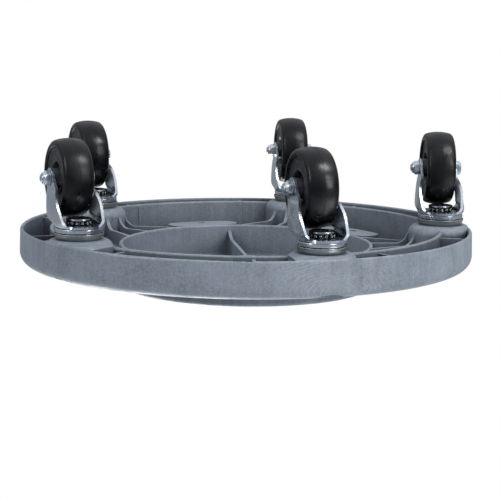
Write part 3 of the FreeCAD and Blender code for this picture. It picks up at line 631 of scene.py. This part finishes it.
def bend_share(angle):
    """How far the crown's rim is bent down at an angle from the +X leg's middle: fully over the
    leg, and fading to nothing beside it."""
    outside = max(LEG_FROM - angle, angle - LEG_TO, 0.0)
    t = max(1 - outside / BEND_FADE, 0.0)
    return t * t * (3 - 2 * t)


def crown_rows(bm):
    """The crown's top face and its bent rim, as rings of vertices from the hole outwards."""
    angles = [CROWN_STEP * i for i in range(int(360 / CROWN_STEP))]
    flat_edge = CROWN_RADIUS - CROWN_BEND
    rows = []
    for radius in (KINGPIN_HOLE, 12.0, 17.0, flat_edge):
        place = [(math.cos(math.radians(a)), math.sin(math.radians(a))) for a in angles]
        rows.append([bm.verts.new((radius * c, radius * s, CROWN_TOP)) for c, s in place])
    for step in range(1, BEND_STEPS + 1):
        part = step / BEND_STEPS
        bent = math.radians(90 * part)
        row = []
        for a in angles:
            folded = (a + 90) % 180 - 90
            share = bend_share(folded if abs(a - 180) > 90 else -folded)
            out = flat_edge + CROWN_BEND * ((1 - share) * part + share * math.sin(bent))
            drop = share * CROWN_BEND * (1 - math.cos(bent))
            turn = math.radians(a)
            row.append(bm.verts.new((out * math.cos(turn), out * math.sin(turn), CROWN_TOP - drop)))
        rows.append(row)
    return rows


def joined(bm, first, second, closed):
    """Quads between two rows of vertices."""
    count = len(first)
    for i in range(count if closed else count - 1):
        j = (i + 1) % count
        corners = [first[i], first[j], second[j], second[i]]
        if len(set(corners)) == 4:
            bm.faces.new(corners)


def fork_leg(bm, rim, side):
    """Rows of vertices from the crown's rim down one leg and round its lug."""
    steps = int((LEG_TO - LEG_FROM) / CROWN_STEP)
    angles = [LEG_FROM + CROWN_STEP * i for i in range(steps + 1)]
    top, near, far = LEG_STATIONS[0][:3]
    shares = [(CROWN_RADIUS * math.sin(math.radians(a)) - far) / (near - far) for a in angles]
    count = len(rim)
    turns = [a if side > 0 else 180 - a for a in angles]
    above = [rim[round(a / CROWN_STEP) % count] for a in turns]
    heights = [top * (1 - i / LEG_ROWS) for i in range(1, LEG_ROWS + 1)]
    for height in heights:
        row = []
        for share in shares:
            x, y = leg_point(height, share)
            row.append(bm.verts.new((side * x, y, AXLE_HEIGHT + height)))
        joined(bm, above, row, False)
        above = row
    for angle in range(LUG_STEP, 90 + LUG_STEP, LUG_STEP):
        turn = math.radians(angle)
        half, drop = LUG_RADIUS * math.cos(turn), LUG_RADIUS * math.sin(turn)
        row = []
        for share in shares:
            y = -TRAIL + half * (2 * share - 1)
            row.append(bm.verts.new((side * BEARING_PLANE, y, AXLE_HEIGHT - drop)))
        joined(bm, above, row, False)
        above = row


def fork(number):
    """One pressing: a crown with its rim bent down into two bowed legs and round lugs."""
    bm = bmesh.new()
    rows = crown_rows(bm)
    for first, second in zip(rows, rows[1:]):
        joined(bm, first, second, True)
    for side in (1, -1):
        fork_leg(bm, rows[-1], side)
    to_metres(bm)
    made = made_from(bm, f"fork_pressing_{number}", caster_matrix(number), "zinc_steel")
    sheet = made.modifiers.new("sheet", "SOLIDIFY")
    sheet.thickness = SHEET * MM
    sheet.offset = -1
    sheet.use_even_offset = True
    rolled = made.modifiers.new("rolled_edges", "BEVEL")
    rolled.width = 1.0 * MM
    rolled.segments = 4
    rolled.limit_method = "ANGLE"
    rolled.angle_limit = math.radians(50)
    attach(made, f"swivel_{number}")
    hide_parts(f"fork_{number}")


# ---------------------------------------------------------------- bolts and stems


def threaded(pitch, depth, first, last):
    """A lathe shape that cuts a thread between two places along the axis."""

    def shape(along, out, angle):
        if not first <= along <= last or out < 1e-6:
            return out
        phase = (along / pitch + angle / math.tau) % 1.0
        return out - depth * abs(2 * phase - 1)

    return shape


def thread_profile(start, end, radius, step):
    count = round((end - start) / step)
    return [(start + (end - start) * i / count, radius) for i in range(count + 1)]


def hexagon_radius(across, angle):
    """Distance from a hexagon's centre to its side at an angle."""
    folded = (angle + math.pi / 6) % (math.pi / 3) - math.pi / 6
    return across / 2 / math.cos(folded)


# Across the flats and from the centre to a corner, for the axle's bolt and nut.
HEXAGON = 12.7
HEXAGON_CORNER = HEXAGON / 2 / math.cos(math.pi / 6)


def chamfered_hexagon(along, out, angle):
    """A lathe shape that cuts a turned blank to the axle fasteners' hexagon."""
    return min(out, hexagon_radius(HEXAGON, angle))


def axle_bolt(number):
    """Hexagon head with a turned-off face, a plain shank and a threaded end."""
    radius, end, thread_end = 4.0, -28.4, -17.0
    pitch, depth = 1.25, 0.68
    profile = [(end, 0.0), (end, radius - 1.1)]
    profile += thread_profile(end + 0.6, thread_end, radius, 0.15)
    profile += [(BEARING_PLANE, radius)]
    bm = bmesh.new()
    thread = threaded(pitch, depth, end + 0.5, thread_end)
    rings = lathe(bm, profile, 48, closed=False, shape=thread)
    bm.faces.new(rings[-1])

    head = 5.3
    outer = BEARING_PLANE + head
    head_profile = [
        (BEARING_PLANE, 0.0),
        (BEARING_PLANE, HEXAGON / 2 - 0.3),
        (BEARING_PLANE + 0.35, HEXAGON / 2 - 0.3),
        (BEARING_PLANE + 0.35, HEXAGON_CORNER),
        (outer - 1.15, HEXAGON_CORNER),
        (outer - 0.75, HEXAGON_CORNER - 0.55),
        (outer - 0.15, HEXAGON / 2 - 0.45),
        (outer, HEXAGON / 2 - 0.8),
        (outer, HEXAGON / 2 - 1.6),
        (outer - 0.2, HEXAGON / 2 - 1.9),
        (outer - 0.2, 0.0),
    ]
    lathe(bm, head_profile, 72, closed=False, shape=chamfered_hexagon)
    to_metres(bm)
    made = made_from(bm, f"axle_screw_{number}", wheel_matrix(number), "zinc_steel")
    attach(made, f"swivel_{number}")
    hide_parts(f"axle_bolt_{number}")


def axle_nut(number):
    """Hexagon nut with turned-off corners, a washer face and a rolled locking collar."""
    near, far = -BEARING_PLANE, -BEARING_PLANE - 5.6
    collar, bore, height = 5.7, 4.05, 2.0
    profile = [
        (near, bore),
        (near, HEXAGON / 2 - 0.3),
        (near - 0.35, HEXAGON / 2 - 0.3),
        (near - 0.35, HEXAGON_CORNER - 0.4),
        (near - 0.9, HEXAGON_CORNER),
        (far + 1.1, HEXAGON_CORNER),
        (far + 0.6, HEXAGON_CORNER - 0.55),
        (far, HEXAGON / 2 - 0.45),
        (far, collar + 0.25),
        (far - 0.3, collar),
    ]
    profile += arc((far - height + 1.2, collar - 1.2), 1.2, 90, 180, 6)
    profile += [(far - height, bore + 0.35), (far - height + 0.35, bore)]
    bm = bmesh.new()
    lathe(bm, profile, 72, shape=chamfered_hexagon)
    to_metres(bm)
    made = made_from(bm, f"axle_locknut_{number}", wheel_matrix(number), "zinc_steel")
    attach(made, f"swivel_{number}")
    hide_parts(f"axle_nut_{number}")


def top_race(number):
    """The fixed cup: a bowl under the boss, whose rolled lip hangs over the balls."""
    bore, face, foot = 8.0, 93.5, 90.05
    ball_circle, ball_height, groove = 20.2, 88.2, 2.06
    half = math.degrees(math.acos((foot - ball_height) / groove))
    lip_foot, lip = 87.2, 23.8
    profile = [(face, bore), (face, 21.2)]
    profile += [(92.6, 21.95), (91.5, 22.62), (90.4, 23.08), (89.6, 23.3)]
    profile += arc((lip_foot + 1.1, lip - 0.5), 0.5, 45, 90, 3)
    profile += arc((lip_foot + 0.3, lip - 0.3), 0.3, 90, 180, 4)
    profile += [(lip_foot, lip - 0.5), (lip_foot + 0.3, 23.1), (88.8, 22.6), (foot, 22.6)]
    profile += arc((ball_height, ball_circle), groove, half, -half, 8)
    profile += [(foot, bore)]
    bm = bmesh.new()
    lathe(bm, profile, 128)
    to_metres(bm)
    made = made_from(bm, f"bearing_cup_{number}", caster_matrix(number) @ UPRIGHT, "race_steel")
    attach(made, "deck")
    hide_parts(f"top_race_{number}")


def stem(number):
    """Threaded stem above the boss, plain kingpin below it and a riveted head under the crown."""
    boss_face, top = 93.5, 131.0
    radius, kingpin, rivet = 6.0, 8.0, 12.6
    rivet_top, rivet_foot = 75.7, 73.4
    pitch, depth = 1.75, 0.95
    thread_foot = boss_face + 3.0
    profile = [(rivet_foot + 1.0, 0.0), (rivet_foot + 1.0, kingpin - 4.0)]
    profile += [(rivet_foot + 0.3, kingpin - 3.2), (rivet_foot, kingpin - 2.0)]
    profile += arc((rivet_foot + 1.5, rivet - 1.5), 1.5, 180, 90, 6)
    profile += [(rivet_top, rivet), (rivet_top, kingpin), (boss_face, kingpin), (boss_face, radius)]
    profile += thread_profile(thread_foot, top - 0.8, radius, 0.22)
    profile += [(top, radius - 1.0), (top, 0.0)]
    bm = bmesh.new()
    lathe(bm, profile, 48, closed=False, shape=threaded(pitch, depth, thread_foot, top - 0.8))
    to_metres(bm)
    # Painted shade: the stem takes the darker copy of the zinc plating.
    made = made_from(bm, f"threaded_stem_{number}", caster_matrix(number) @ UPRIGHT, PAINTED_SHADE_ZINC)
    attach(made, "deck")
    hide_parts(f"stem_{number}")


camera()
floor()
lights()
finish_cad_nodes()
for caster in range(1, CASTER_COUNT + 1):
    tyre(caster)
    wheel_core(caster)
    fork(caster)
    axle_bolt(caster)
    axle_nut(caster)
    top_race(caster)
    stem(caster)
